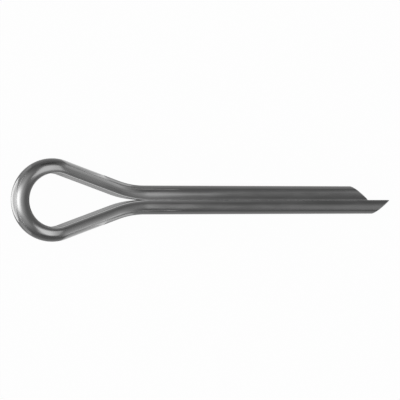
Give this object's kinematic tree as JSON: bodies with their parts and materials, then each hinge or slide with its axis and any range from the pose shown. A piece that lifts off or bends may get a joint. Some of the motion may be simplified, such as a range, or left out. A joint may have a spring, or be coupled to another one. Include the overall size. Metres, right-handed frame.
{
  "type": "cotter pin",
  "caption": "Cotter pin of half-round steel wire, folded into a round split shank with a teardrop eye and slant-cut prongs of unequal length.",
  "frame": {"origin": "on the shank's axis at the throat, where the straight legs begin", "axes": "+X along the shank from the throat to the tips, +Y across the legs towards the short one, +Z through the eye, upwards as the pin lies on its side"},
  "size_m": [0.079, 0.016, 0.0056],
  "materials": {
    "steel_wire": "bright drawn steel wire, smooth with a soft gloss and faint drawing lines along its length"
  },
  "bodies": {
    "root": {"cotter_pin": "steel_wire"}
  },
  "joints": []
}
